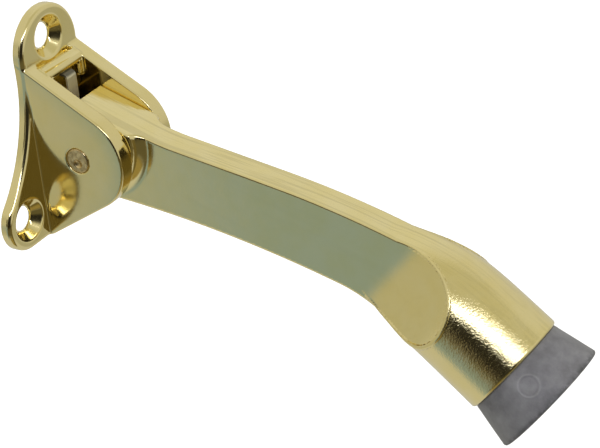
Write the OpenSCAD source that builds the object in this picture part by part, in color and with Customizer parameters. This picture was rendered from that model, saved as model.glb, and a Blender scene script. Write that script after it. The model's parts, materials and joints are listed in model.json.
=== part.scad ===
// Kick-down door holder: a wall bracket with two cheeks, a swinging arm and a rubber floor tip.
// X runs along the hinge pin, -Y points away from the door, +Z is up.
// The door face is the plane y = 0 and the hinge axis crosses the YZ plane at z = 0.
// Profiles are drawn as [distance from the door, height] and then extruded along X.

/* [Base plate] */
// Thickness of the plate
plate_thickness = 2.8; // [2.4:0.1:3.2]
// Height of the top screw hole above the hinge axis
top_hole_height = 24.4; // [23.5:0.1:26]
// Depth of the two lower screw holes below the hinge axis
low_hole_depth = 13.7; // [13:0.1:15]
// Distance between the two lower screw holes
low_hole_spacing = 32.8; // [31:0.2:36]
// Radius of the rounded top end
top_lobe_r = 10.2; // [9.8:0.1:11]
// Drop from the top screw hole to the centre of the rounded top end
top_lobe_drop = 2.9; // [2:0.1:3.5]
// Radius of each lower lobe
low_lobe_r = 7.1; // [6.5:0.1:7.6]
// Radius of the hollow flank between the top end and a lower lobe
flank_r = 38; // [30:1:50]
// Diameter of a screw hole
screw_hole_d = 5.5; // [4.8:0.1:5.8]
// Diameter of a screw hole's countersink at the face
countersink_d = 10.1; // [9.6:0.1:10.6]

/* [Hinge] */
// Distance from the door to the hinge axis
hinge_offset = 13.7; // [13.4:0.1:14.2]
// Clear gap between the two cheeks
cheek_gap = 12.2; // [11.8:0.1:13]
// Thickness of one cheek
cheek_thickness = 4.05; // [3.6:0.05:4.4]
// Radius of a cheek's nose about the hinge axis
nose_r = 12; // [11.6:0.1:12.4]
// Height at which a cheek's top edge leaves the plate
cheek_top = 20; // [19:0.1:21]
// Diameter of the hinge pin
pin_d = 6; // [5:0.1:6.4]
// Radial clearance of the arm's bore on the pin
pin_clearance = 0.05; // [0.02:0.01:0.1]

/* [Arm] */
// Thickness of the flat bar
bar_thickness = 7.6; // [6.8:0.1:8.4]
// Side clearance between the arm's hub and a cheek
hub_clearance = 0.1; // [0.05:0.05:0.2]
// Distance from the hinge axis to the hub's back flat
back_flat = 6.1; // [5.6:0.1:6.4]
// Radius of the hub's rounded underside
hub_r = 11; // [10.6:0.1:11.2]
// Radius of the hub's full-width shoulder
shoulder_r = 12.2; // [11.8:0.1:12.6]
// Height of the shoulder's centre above the hinge axis
shoulder_rise = 3.2; // [2.6:0.1:3.6]
// Radial length of the hollow that runs from the shoulder down to the bar
shoulder_hollow = 3.2; // [2.8:0.1:3.6]

/* [Socket and tip] */
// Angle of the socket below the horizontal
socket_angle = 39.4; // [38:0.1:41]
// Outside radius of the socket at its rim
socket_r = 12.35; // [12:0.05:12.6]
// Outside radius of the socket where its top starts to curve back
socket_full_r = 12.2; // [12.1:0.05:12.3]
// Outside radius of the socket's lower half where it runs back into the bar
socket_back_r = 12; // [11.8:0.05:12]
// Distance from the rim to the place where the bar's flat sides start to flare
flare_start = 34.7; // [34:0.1:35.5]
// Radius of the flare that carries each flat side out to the socket's surface
flare_r = 25.4; // [23:0.2:28]
// Distance from the rim to the place where the socket's top starts to curve back
crown_start = 11.5; // [10:0.1:13]
// Radius of that curve along the arm
crown_r = 51; // [48:1:54]
// Inside radius of the socket
socket_bore_r = 9.6; // [9:0.1:10]
// Depth of the socket's bore
socket_bore_depth = 12; // [10:0.5:13]
// Length of the rubber tip outside the socket
tip_length = 10.3; // [9:0.1:12]
// Radius of the rubber tip next to the socket
tip_neck_r = 11.7; // [11:0.1:11.9]
// Radius of the rubber tip's floor end
tip_end_r = 13.7; // [13:0.1:14.4]
// Diameter of the tip screw
tip_screw_d = 4.8; // [4:0.1:5.5]

/* [Leaf spring] */
// Thickness of the spring strip
spring_thickness = 0.6; // [0.4:0.05:0.7]
// Width of the spring strip
spring_width = 3.9; // [3.4:0.1:4.5]
// Width of the spring's head
spring_head_width = 11.6; // [10.8:0.1:11.8]

/* [Hidden] */
$fn = 96;
// Segments of the circles that shape the outlines
outline_fn = 240;
// A distance beyond every outline
far = 40;
// How far joined shapes run into each other, and how far a cutting shape runs past a surface
overlap = 0.01;
past = 1;

brass_color = [0.80, 0.70, 0.36];
pin_color = [0.55, 0.47, 0.33];
spring_color = [0.62, 0.60, 0.50];
rubber_color = [0.45, 0.45, 0.44];
steel_color = [0.75, 0.75, 0.74];

// Base plate
bracket_width = cheek_gap + 2 * cheek_thickness;
top_lobe = [0, top_hole_height - top_lobe_drop];
low_lobe = [low_hole_spacing / 2, -low_hole_depth];
plate_bottom = -low_hole_depth - low_lobe_r;
countersink_depth = (countersink_d - screw_hole_d) / 2;
relief_half_height = 9;
relief_floor = 0.8;

// Hinge
hinge = [hinge_offset, 0];
hub_width = cheek_gap - 2 * hub_clearance;
pin_chamfer = 0.25;
dimple_r = 1.1;
dimple_floor_r = 0.2;
dimple_depth = 0.45;
dimple_offset = 0.7;

// Bridge between the cheeks, and the two ribs under it
bridge_back = 3.8;
bridge_front = 6.3;
bridge_height = 1.5;
groove_depth = 1;
rib_back = 4.9;
rib_drop = 3.2;
rib_width = 1.6;

// Leaf spring
spring_gap = 0.05;
spring_bend_r = 1;
spring_foot = -9.7;
spring_head_length = 1.9;

// Arm outline, as headings in degrees and arc lengths
hub_corner = [hinge_offset - 3.1, 11.37];
top_heading = -19.1;
top_bends = [[17.7, 0], [8, 8.9], [25.4, 0], [42.3, -10.9]];
bottom_heading = -5.4;
bottom_bends = [[6, 0], [56.8, -10.7], [10.4, -20]];
bottom_run_out = 14;

// Socket frame: s runs along the socket's axis from its rim, r is the distance from that axis
rim_centre = [113.6, -35.4];
socket_dir = [cos(socket_angle), -sin(socket_angle)];
socket_up = [sin(socket_angle), cos(socket_angle)];
rim_round = 0.6;
socket_length = 38;
belly_top = 2;
flare_sink = 0.05;
bar_end = 19;
lip_r = 0.5;
washer_r = 5.5;
washer_thickness = 1;
washer_recess = 3;
screw_head_r = 4.2;
screw_head_height = 2.4;
screw_thread_length = 8;
screw_end_gap = 1;
screw_head_taper = 1;
drive_r = 1.3;
drive_depth = 1.3;

function unit(v) = v / norm(v);

// Centre of the circle of radius r that touches two circles from outside, on the side of +X
function outer_touch(a, ra, b, rb, r) =
    let (d = norm(b - a))
    let (along = ((ra + r) ^ 2 - (rb + r) ^ 2 + d ^ 2) / (2 * d))
    let (side = sqrt((ra + r) ^ 2 - along ^ 2))
    let (e = unit(b - a))
    a + e * along + [e[1], -e[0]] * side;

// Point where a line from p touches a circle, above or below the line to its centre
function tangent_point(p, centre, r, above) =
    let (v = p - centre)
    let (turn = acos(r / norm(v)) * (above ? -1 : 1))
    let (angle = atan2(v[1], v[0]) + turn)
    centre + r * [cos(angle), sin(angle)];

// Points along a chain of tangent arcs, each given as [length, turn]
function arc_step(p, heading, bend, share) =
    let (turned = heading + bend[1] * share / 2)
    let (half = abs(bend[1] * share) / 2)
    let (chord = bend[0] * share * (half > 0 ? sin(half) / (half * PI / 180) : 1))
    p + chord * [cos(turned), sin(turned)];
function chain(p, heading, bends, i = 0, steps = 10) =
    i >= len(bends) ? [p] :
    concat(
        [for (k = [0 : steps - 1]) arc_step(p, heading, bends[i], k / steps)],
        chain(arc_step(p, heading, bends[i], 1), heading + bends[i][1], bends, i + 1, steps)
    );

// A strip of even thickness along a path
function ribbon(path, thickness) =
    let (last = len(path) - 1)
    let (sides = [for (i = [0 : last]) unit(path[min(i + 1, last)] - path[max(i - 1, 0)])])
    let (left = [for (i = [0 : last]) path[i] + thickness / 2 * [-sides[i][1], sides[i][0]]])
    let (right = [for (i = [last : -1 : 0]) path[i] - thickness / 2 * [-sides[i][1], sides[i][0]]])
    concat(left, right);

// Place on the socket's axis, in the profile plane
function on_axis(s, r = 0) = rim_centre + s * socket_dir + r * socket_up;

// Height of the cheeks' top edge at a distance from the door
cheek_tangent = tangent_point([plate_thickness, cheek_top], hinge, nose_r, true);
cheek_slope = (cheek_tangent[1] - cheek_top) / (cheek_tangent[0] - plate_thickness);
function cheek_edge(u) = cheek_top + cheek_slope * (u - plate_thickness);

// Extrudes a profile along X, centred on the middle plane
module across(width) {
    rotate([90, 0, -90]) linear_extrude(width, center = true) children();
}

// Stands a profile drawn in the XZ plane on the door face
module on_door(thickness) {
    rotate([90, 0, 0]) linear_extrude(thickness) children();
}

// Turns children drawn along +Z onto an axis parallel to the hinge pin
module along_pin(centre = hinge) {
    translate([0, -centre[0], centre[1]]) rotate([0, 90, 0]) children();
}

// Puts children, drawn along +Z, on the socket's axis with the rim at z = 0
module along_socket() {
    translate([0, -rim_centre[0], rim_centre[1]]) rotate([90 + socket_angle, 0, 0]) children();
}

module both_sides() {
    children();
    mirror([1, 0, 0]) children();
}

module plate_shape() {
    flank = outer_touch(low_lobe, low_lobe_r, top_lobe, top_lobe_r, flank_r);
    top_touch = top_lobe + top_lobe_r * unit(flank - top_lobe);
    low_touch = low_lobe + low_lobe_r * unit(flank - low_lobe);
    difference() {
        union() {
            translate(top_lobe) circle(top_lobe_r);
            both_sides() translate(low_lobe) circle(low_lobe_r);
            both_sides() polygon([
                [-overlap, top_lobe[1]],
                top_touch,
                low_touch,
                low_lobe,
                [low_lobe[0], plate_bottom],
                [-overlap, plate_bottom]
            ]);
        }
        both_sides() translate(flank) circle(flank_r, $fn = outline_fn);
    }
}

module screw_hole(x, z) {
    translate([x, 0, z]) rotate([90, 0, 0]) {
        translate([0, 0, -past]) cylinder(d = screw_hole_d, h = plate_thickness + 2 * past);
        translate([0, 0, plate_thickness - countersink_depth])
            cylinder(d1 = screw_hole_d, d2 = countersink_d + 2 * past, h = countersink_depth + past);
    }
}

module cheek_shape() {
    nose_bottom = tangent_point([plate_thickness, plate_bottom], hinge, nose_r, false);
    translate(hinge) circle(nose_r, $fn = outline_fn);
    polygon([
        [0, cheek_edge(0)],
        cheek_tangent,
        hinge,
        nose_bottom,
        [plate_thickness, plate_bottom],
        [0, plate_bottom]
    ]);
}

module bridge_shape() {
    under = cheek_edge(bridge_front) - bridge_height;
    polygon([
        [plate_thickness - overlap, cheek_edge(bridge_back) - groove_depth],
        [bridge_back, cheek_edge(bridge_back) - groove_depth],
        [bridge_back, cheek_edge(bridge_back)],
        [bridge_front, cheek_edge(bridge_front)],
        [bridge_front, under],
        [plate_thickness - overlap, under]
    ]);
}

module cheeks() {
    both_sides()
        translate([(cheek_gap + cheek_thickness) / 2, 0, 0]) across(cheek_thickness) cheek_shape();
}

module ribs() {
    bridge_under = cheek_edge(bridge_front) - bridge_height;
    both_sides()
        translate([cheek_gap / 2 - rib_width, -bridge_front, bridge_under - rib_drop])
            cube([rib_width + overlap, bridge_front - rib_back, rib_drop + overlap]);
}

module base_bracket() {
    color(brass_color) difference() {
        union() {
            on_door(plate_thickness) plate_shape();
            cheeks();
            across(cheek_gap + 2 * overlap) bridge_shape();
            ribs();
        }
        screw_hole(0, top_hole_height);
        screw_hole(-low_hole_spacing / 2, -low_hole_depth);
        screw_hole(low_hole_spacing / 2, -low_hole_depth);
        along_pin() cylinder(d = pin_d, h = bracket_width + 2 * past, center = true);
        // Relief pocket that lets the hub's corner push the spring past the plate's face
        translate([-cheek_gap / 2, -plate_thickness - overlap, -relief_half_height])
            cube([cheek_gap, plate_thickness - relief_floor + overlap, 2 * relief_half_height]);
    }
}

module pivot_pin() {
    plain = bracket_width / 2 - pin_chamfer;
    color(pin_color) along_pin() difference() {
        union() {
            cylinder(d = pin_d, h = 2 * plain, center = true);
            for (end = [-1, 1])
                mirror([0, 0, end < 0 ? 1 : 0]) translate([0, 0, plain - overlap])
                    cylinder(d1 = pin_d, d2 = pin_d - 2 * pin_chamfer, h = pin_chamfer + overlap);
        }
        for (end = [-1, 1])
            mirror([0, 0, end < 0 ? 1 : 0])
                translate([dimple_offset, 0, bracket_width / 2 - dimple_depth])
                    cylinder(r1 = dimple_floor_r, r2 = dimple_r, h = dimple_depth + overlap);
    }
}

module leaf_spring() {
    front = hinge_offset - back_flat - spring_gap;
    head_z = cheek_edge(bridge_front) - bridge_height - spring_gap - spring_thickness / 2;
    back = plate_thickness + spring_gap;
    leg = front - spring_thickness / 2 - spring_bend_r - back;
    bend = spring_bend_r * PI / 2;
    drop = head_z - spring_foot - 2 * spring_bend_r;
    strip = chain([back, head_z], 0, [[leg, 0], [bend, -90], [drop, 0], [bend, -90], [leg, 0]]);
    color(spring_color) {
        across(spring_width) polygon(ribbon(strip, spring_thickness));
        translate([-spring_head_width / 2, -back - spring_head_length, head_z - spring_thickness / 2])
            cube([spring_head_width, spring_head_length, spring_thickness]);
    }
}

// Flat bar from the hub into the socket
hub_foot = hinge + hub_r * [sin(bottom_heading), -cos(bottom_heading)];
module bar_shape() {
    top = chain(hub_corner, top_heading, top_bends);
    bottom = chain(hub_foot, bottom_heading, concat(bottom_bends, [[bottom_run_out, 0]]));
    reversed = [for (i = [len(bottom) - 1 : -1 : 0]) bottom[i]];
    polygon(concat(top, [on_axis(-bar_end)], reversed, [hinge]));
}

// Hub outline: a flat back for the spring, a sharp top corner and a rounded underside
module hub_shape() {
    back = hinge_offset - back_flat;
    flat_top = 2;
    intersection() {
        polygon([
            hub_corner,
            [back, flat_top],
            [back, -far],
            [far, -far],
            [far, hub_corner[1] - (far - hub_corner[0]) * tan(-top_heading)]
        ]);
        union() {
            translate(hinge) circle(hub_r, $fn = outline_fn);
            polygon([hub_corner, [back, flat_top], hinge, [hinge_offset + hub_r, 0], [far, 0], [far, far]]);
        }
    }
}

// Full-width shoulder with a hollow round it, as a solid of revolution along X
module shoulder() {
    step = (hub_width - bar_thickness) / 2;
    hollow_r = (shoulder_hollow ^ 2 + step ^ 2) / (2 * step);
    centre = [hinge_offset, shoulder_rise];
    along_pin(centre) {
        cylinder(r = shoulder_r, h = hub_width, center = true);
        for (end = [0, 1]) mirror([0, 0, end]) rotate_extrude() difference() {
            square([shoulder_r + shoulder_hollow, hub_width / 2]);
            translate([shoulder_r + shoulder_hollow, bar_thickness / 2 + hollow_r])
                circle(hollow_r);
            translate([0, bar_thickness / 2 + step]) square([2 * shoulder_r, step]);
        }
    }
}

module hub() {
    intersection() {
        shoulder();
        across(hub_width) union() {
            hub_shape();
            bar_shape();
        }
    }
}

// Round socket whose back end curves inwards
module socket_solid() {
    taper = (socket_r - socket_full_r) / crown_start;
    along_socket() rotate_extrude() {
        intersection() {
            translate([socket_full_r - crown_r, -crown_start]) circle(crown_r, $fn = outline_fn);
            translate([0, -socket_length]) square([socket_full_r, socket_length - crown_start]);
        }
        polygon([
            [0, -crown_start],
            [socket_full_r, -crown_start],
            [socket_r - taper * rim_round, -rim_round],
            [socket_r - rim_round, 0],
            [0, 0]
        ]);
    }
}

// Lower half of the socket, which runs straight back into the bar
module socket_belly() {
    along_socket() intersection() {
        translate([0, 0, -socket_length]) cylinder(r = socket_back_r, h = socket_length - crown_start);
        translate([-far, -far - belly_top, -socket_length]) cube([2 * far, far, socket_length]);
    }
}

// Everything above the arm's bottom line
module above_bottom_line() {
    bottom = chain(hub_foot, bottom_heading, bottom_bends);
    last = bottom[len(bottom) - 1];
    steeper = socket_angle + 1;
    end = last + 2 * far * [cos(steeper), -sin(steeper)];
    polygon(concat(bottom, [end, [end[0], far], [0, far]]));
}

// What the flat sides and their flares leave off the socket
module flare_cut() {
    both_sides() along_socket() translate([bar_thickness / 2 - flare_sink, 0, -flare_start]) {
        translate([0, -far, -far]) cube([far, 2 * far, far]);
        translate([flare_r, 0, 0]) rotate([90, 0, 0])
            cylinder(r = flare_r, h = 2 * far, center = true, $fn = outline_fn);
    }
}

module socket_body() {
    intersection() {
        difference() {
            union() {
                socket_solid();
                socket_belly();
            }
            flare_cut();
        }
        across(3 * socket_r) above_bottom_line();
    }
}

module arm() {
    screw_hole_depth = socket_bore_depth + screw_thread_length;
    color(brass_color) difference() {
        union() {
            across(bar_thickness) bar_shape();
            hub();
            socket_body();
        }
        along_pin() cylinder(d = pin_d + 2 * pin_clearance, h = hub_width + 2 * past, center = true);
        along_socket() translate([0, 0, -socket_bore_depth])
            cylinder(r = socket_bore_r, h = socket_bore_depth + past);
        along_socket() translate([0, 0, -screw_hole_depth])
            cylinder(d = tip_screw_d, h = screw_hole_depth);
    }
}

module rubber_tip() {
    floor_end = tip_length;
    seat = tip_length - washer_recess - washer_thickness;
    color(rubber_color) along_socket() difference() {
        union() {
            translate([0, 0, -socket_bore_depth]) cylinder(r = socket_bore_r, h = socket_bore_depth);
            cylinder(r1 = tip_neck_r, r2 = tip_end_r, h = floor_end - lip_r);
            translate([0, 0, floor_end - lip_r - overlap])
                cylinder(r1 = tip_end_r, r2 = tip_end_r - lip_r, h = lip_r + overlap);
        }
        translate([0, 0, -socket_bore_depth - past])
            cylinder(d = tip_screw_d, h = socket_bore_depth + tip_length + 2 * past);
        translate([0, 0, seat]) cylinder(r = washer_r, h = washer_recess + washer_thickness + past);
    }
}

module tip_screw() {
    seat = tip_length - washer_recess;
    length = seat + socket_bore_depth + screw_thread_length - screw_end_gap;
    color(steel_color) along_socket() difference() {
        union() {
            translate([0, 0, seat - length]) cylinder(d = tip_screw_d, h = length);
            translate([0, 0, seat])
                cylinder(r1 = screw_head_r, r2 = screw_head_r - screw_head_taper, h = screw_head_height);
        }
        translate([0, 0, seat + screw_head_height - drive_depth])
            cylinder(r = drive_r, h = drive_depth + past, $fn = 6);
    }
}

module tip_washer() {
    seat = tip_length - washer_recess - washer_thickness;
    color(steel_color) along_socket() translate([0, 0, seat]) difference() {
        cylinder(r = washer_r, h = washer_thickness);
        translate([0, 0, -past]) cylinder(d = tip_screw_d, h = washer_thickness + 2 * past);
    }
}

base_bracket();
pivot_pin();
leaf_spring();
arm();
rubber_tip();
tip_screw();
tip_washer();
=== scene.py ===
"""Looks of the kick-down door holder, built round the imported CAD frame.

The castings are meshed here as smooth solids with the small rounded edges that cast and polished
brass has. Lengths inside the solids are in millimetres: x along the hinge pin, u away from the
door, z up. Meshes are written in metres, with y = -u.
"""
import math

import bpy
import numpy as np
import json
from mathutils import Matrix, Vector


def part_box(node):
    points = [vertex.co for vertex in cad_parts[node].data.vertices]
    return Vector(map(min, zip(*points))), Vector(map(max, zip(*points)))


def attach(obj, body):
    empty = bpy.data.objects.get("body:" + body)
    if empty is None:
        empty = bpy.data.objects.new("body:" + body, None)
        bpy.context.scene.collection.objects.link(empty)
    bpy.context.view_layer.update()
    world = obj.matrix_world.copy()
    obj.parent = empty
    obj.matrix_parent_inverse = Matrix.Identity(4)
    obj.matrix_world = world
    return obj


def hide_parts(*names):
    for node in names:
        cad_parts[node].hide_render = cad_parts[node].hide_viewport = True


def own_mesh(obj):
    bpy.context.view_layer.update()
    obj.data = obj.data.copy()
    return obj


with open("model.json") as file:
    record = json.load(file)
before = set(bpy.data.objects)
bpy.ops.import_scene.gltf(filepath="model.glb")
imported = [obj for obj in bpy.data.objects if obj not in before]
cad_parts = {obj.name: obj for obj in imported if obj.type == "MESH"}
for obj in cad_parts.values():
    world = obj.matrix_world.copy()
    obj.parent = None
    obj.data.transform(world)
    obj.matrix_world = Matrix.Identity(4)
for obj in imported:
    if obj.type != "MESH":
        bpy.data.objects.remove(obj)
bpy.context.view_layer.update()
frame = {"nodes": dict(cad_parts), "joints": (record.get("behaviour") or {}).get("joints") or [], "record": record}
MM = 0.001
SLIM = 1e-9


def node_box(name):
    """Lowest and highest corner of a CAD node in millimetres, as (x, u, z)."""
    low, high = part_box(name)
    return (np.array([low[0], -high[1], low[2]]) / MM, np.array([high[0], -low[1], high[2]]) / MM)


# ---------------------------------------------------------------- places taken from the frame
JOINT = frame["joints"][0]
HINGE_U, HINGE_Z = -JOINT["pos_m"][1] / MM, JOINT["pos_m"][2] / MM
BRACKET_LOW, BRACKET_HIGH = node_box("base_bracket")
PIN_LOW, PIN_HIGH = node_box("pivot_pin")
SPRING_LOW, SPRING_HIGH = node_box("leaf_spring")
WASHER_LOW, WASHER_HIGH = node_box("tip_washer")
MOUNTS = {m["name"]: m for m in frame["record"]["mounts"]}

# ---------------------------------------------------------------- sizes of the parts
# Lengths are in mm. A list of bends holds (length, turn in degrees) for each line or arc.
PLATE_T = 2.8
TOP_LOBE_R, LOW_LOBE_R, FLANK_R = 10.2, 7.1, 38.0
HOLE_R, SINK_R = MOUNTS["lower_screw_holes"]["dims"]["hole_r_mm"], 5.05
CHEEK_GAP, CHEEK_TOP, NOSE_R = 12.2, 20.0, 12.0
BRIDGE_BACK, BRIDGE_FRONT, BRIDGE_HEIGHT, GROOVE = 3.8, 6.3, 1.5, 1.0
RIB_BACK, RIB_DROP, RIB_WIDTH = 4.9, 3.2, 1.6
RELIEF_HALF, RELIEF_FLOOR = 9.0, 0.8
BAR_HALF, HUB_HALF = 3.8, 6.0
BACK_FLAT, HUB_R, SHOULDER_R, SHOULDER_RISE, HOLLOW = 6.1, 11.0, 12.2, 3.2, 3.2
BACK_FLAT_TOP, HUB_CORNER, TOP_HEADING = 2.0, (HINGE_U - 3.1, 11.37), -19.1
TOP_BENDS = [(17.7, 0), (8, 8.9), (25.4, 0), (42.3, -10.9)]
BOTTOM_HEADING = -5.4
BOTTOM_BENDS = [(6, 0), (56.8, -10.7), (10.4, -20)]
BAR_TAIL, SOCKET_TAIL = [(30, 0)], [(2, -4.3), (60, 0)]
SOCKET_ANGLE = math.radians(39.4)
SOCKET_R, SOCKET_FULL_R, CROWN_START = 12.35, 12.2, 11.5
CROWN_EASE, CROWN_DROP, CROWN_POWER = 8.0, 0.0015, 2.5
CREST_END, CREST_FADE = 28.0, 9.0
FLARE_START, FLARE_R, SOCKET_LENGTH, BAR_END = 34.7, 25.4, 38.0, 22.0
BORE_R, BORE_DEPTH, THREAD_R, THREAD_DEPTH = 9.6, 12.0, 2.4, 20.0
TIP_LENGTH, TIP_NECK_R, TIP_END_R, WASHER_R, WASHER_T, RECESS = 10.3, 11.7, 13.7, 5.5, 1.0, 3.0
COS_S, SIN_S = math.cos(SOCKET_ANGLE), math.sin(SOCKET_ANGLE)
WASHER_S = TIP_LENGTH - RECESS - WASHER_T / 2
RIM_U = (WASHER_LOW[1] + WASHER_HIGH[1]) / 2 - WASHER_S * COS_S
RIM_Z = (WASHER_LOW[2] + WASHER_HIGH[2]) / 2 + WASHER_S * SIN_S

# Radii of the polished edges and of the fillets between surfaces
PLATE_EDGE, BACK_EDGE, CHEEK_EDGE_OUT, CHEEK_EDGE_IN, CHEEK_FOOT_EDGE = 1.2, 0.25, 0.5, 0.35, 0.6
CHEEK_ROOT, BRIDGE_ROOT, SINK_MOUTH, SINK_FOOT, BORE_MOUTH = 0.35, 0.4, 0.35, 0.5, 0.3
BRIDGE_TOP_EDGE, BRIDGE_SIDE_EDGE, BRIDGE_LOW_EDGE, RIB_EDGE, RIB_FOOT_EDGE = 0.45, 0.4, 0.3, 0.75, 0.7
BAR_EDGE, BAR_FOOT_EDGE, HUB_BACK_EDGE, HUB_TOP_EDGE, HUB_SIDE_EDGE = 0.65, 0.5, 0.6, 0.4, 0.3
CREST, RIM_EDGE, BORE_EDGE = 0.45, 0.7, 0.15

# How far one solid runs into its neighbour, and how far a cut goes past a face
INLAP, CUT_PAST = 0.5, 1

# How far polishing takes the cheeks' faces down at their outline, and over what width
WEAR_DEPTH, WEAR_WIDTH = 0.06, 4.5

# The raised line along the crest: its radius, how deep it lies and ends, and its fillet
BEAD_R, BEAD_SUNK, BEAD_END_SUNK, BEAD_ROOT = 0.30, 0.08, 0.4, 0.12

# The pin, its rounded ends and its play in the cheeks and in the arm
PIN_R, PIN_EDGE, PIN_PLAY, HINGE_PLAY = (PIN_HIGH[2] - PIN_LOW[2]) / 2, 0.45, 0.02, 0.05

# The ball that dents each end of the pin: how far its centre stands out and lies low
DIMPLE_R, DIMPLE_OUT, DIMPLE_LOW, DIMPLE_EDGE = 1.35, 0.9, 0.7, 0.1


# ---------------------------------------------------------------- solid modelling with distances
def round_max(a, b, r):
    """Intersection of two distance fields with its outer edge rounded to radius r."""
    corner = np.hypot(np.maximum(r + a, 0), np.maximum(r + b, 0))
    return np.minimum(-r, np.maximum(a, b)) + corner


def round_min(a, b, r):
    """Union of two distance fields with the inner corner filled to radius r."""
    return -round_max(-a, -b, r)


def unit(v):
    """Vector of length 1 along v."""
    v = np.asarray(v, float)
    return v / np.linalg.norm(v)


def tangent_point(p, centre, r, above):
    """Where a line from p touches a circle, above or below the line to its centre."""
    v = np.array(p, float) - centre
    turn = math.acos(r / np.linalg.norm(v)) * (-1 if above else 1)
    angle = math.atan2(v[1], v[0]) + turn
    return np.array(centre) + r * np.array([math.cos(angle), math.sin(angle)])


def outer_touch(a, ra, b, rb, r):
    """Centre of the circle of radius r that touches two circles from outside."""
    a, b = np.array(a, float), np.array(b, float)
    d = np.linalg.norm(b - a)
    along = ((ra + r) ** 2 - (rb + r) ** 2 + d ** 2) / (2 * d)
    side = math.sqrt((ra + r) ** 2 - along ** 2)
    e = unit(b - a)
    return a + e * along + np.array([e[1], -e[0]]) * side


def chain_distance(p, q, start, heading, bends):
    """Signed distance to a chain of tangent lines and arcs, positive on its left."""
    at, turned = np.array(start, float), math.radians(heading)
    out = reached = None
    for length, turn in bends:
        turn = math.radians(turn)
        e = np.array([math.cos(turned), math.sin(turned)])
        n = np.array([-e[1], e[0]])
        dp, dq = p - at[0], q - at[1]
        if abs(turn) < SLIM:
            along, signed = dp * e[0] + dq * e[1], dp * n[0] + dq * n[1]
            at = at + length * e
        else:
            r = length / turn
            c = at + r * n
            cp, cq = p - c[0], q - c[1]
            away = np.hypot(cp, cq)
            signed = np.sign(r) * (abs(r) - away)
            # Distance along the arc, from the angle about its centre
            radial = -n * np.sign(r)
            sweep = np.arctan2(radial[0] * cq - radial[1] * cp, radial[0] * cp + radial[1] * cq)
            along = sweep * r
            turned += turn
            at = c - r * np.array([-math.sin(turned), math.cos(turned)])
        # Each piece takes over where the one before it ends
        if out is None:
            out, reached = signed, along > length
        else:
            out = np.where(reached & (along > 0), signed, out)
            reached = reached & (along > length)
    return out


def in_polygon(p, q, points):
    """True where (p, q) lies inside a polygon."""
    inside = np.zeros(np.broadcast(p, q).shape, bool)
    for (ax, ay), (bx, by) in zip(points, points[1:] + points[:1]):
        if abs(by - ay) > SLIM:
            crosses = (ay > q) != (by > q)
            inside ^= crosses & (p < (bx - ax) * (q - ay) / (by - ay) + ax)
    return inside


# ---------------------------------------------------------------- the bracket
HINGE = np.array([HINGE_U, HINGE_Z])
PLATE_BOTTOM = BRACKET_LOW[2]
TOP_LOBE = np.array([0, BRACKET_HIGH[2] - TOP_LOBE_R])
LOW_LOBE = np.array([BRACKET_HIGH[0] - LOW_LOBE_R, PLATE_BOTTOM + LOW_LOBE_R])
FLANK = outer_touch(LOW_LOBE, LOW_LOBE_R, TOP_LOBE, TOP_LOBE_R, FLANK_R)
TOP_TOUCH = TOP_LOBE + TOP_LOBE_R * unit(FLANK - TOP_LOBE)
LOW_TOUCH = LOW_LOBE + LOW_LOBE_R * unit(FLANK - LOW_LOBE)
CHEEK_TANGENT = tangent_point((PLATE_T, CHEEK_TOP), HINGE, NOSE_R, True)
CHEEK_SLOPE = (CHEEK_TANGENT[1] - CHEEK_TOP) / (CHEEK_TANGENT[0] - PLATE_T)
NOSE_BOTTOM = tangent_point((PLATE_T, PLATE_BOTTOM), HINGE, NOSE_R, False)
BRACKET_HALF = PIN_HIGH[0]


def cheek_line(u):
    """Height of the cheeks' top edge at a distance from the door."""
    return CHEEK_TOP + CHEEK_SLOPE * (u - PLATE_T)


def plate_outline(ax, z):
    """Distance to the plate's outline: three lobes joined by hollow flanks."""
    top = np.hypot(ax, z - TOP_LOBE[1])
    top_angle = np.arctan2(ax, z - TOP_LOBE[1])
    touch_angle = math.atan2(TOP_TOUCH[0], TOP_TOUCH[1] - TOP_LOBE[1])
    to_top = np.where(top_angle <= touch_angle, np.abs(top - TOP_LOBE_R),
                      np.hypot(ax - TOP_TOUCH[0], z - TOP_TOUCH[1]))
    flank = np.hypot(ax - FLANK[0], z - FLANK[1])
    flank_angle = np.arctan2(z - FLANK[1], FLANK[0] - ax)
    span = [math.atan2(t[1] - FLANK[1], FLANK[0] - t[0]) for t in (LOW_TOUCH, TOP_TOUCH)]
    on_flank = (flank_angle >= span[0]) & (flank_angle <= span[1])
    to_flank = np.where(on_flank, np.abs(flank - FLANK_R),
                        np.hypot(ax - LOW_TOUCH[0], z - LOW_TOUCH[1]))
    low = np.hypot(ax - LOW_LOBE[0], z - LOW_LOBE[1])
    low_angle = np.arctan2(z - LOW_LOBE[1], ax - LOW_LOBE[0])
    low_span = math.atan2(LOW_TOUCH[1] - LOW_LOBE[1], LOW_TOUCH[0] - LOW_LOBE[0])
    on_low = (low_angle <= low_span) & (low_angle >= -math.pi / 2)
    to_low = np.where(on_low, np.abs(low - LOW_LOBE_R),
                      np.hypot(ax - LOW_LOBE[0], z - PLATE_BOTTOM))
    to_bottom = np.hypot(np.maximum(ax - LOW_LOBE[0], 0), z - PLATE_BOTTOM)
    middle = [(-1, TOP_LOBE[1]), tuple(TOP_TOUCH), tuple(LOW_TOUCH), tuple(LOW_LOBE),
              (LOW_LOBE[0], PLATE_BOTTOM), (-1, PLATE_BOTTOM)]
    inside = (top < TOP_LOBE_R) | (low < LOW_LOBE_R) | in_polygon(ax, z, middle)
    inside &= flank > FLANK_R
    away = np.minimum(np.minimum(to_top, to_flank), np.minimum(to_low, to_bottom))
    return np.where(inside, -away, away)


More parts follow.
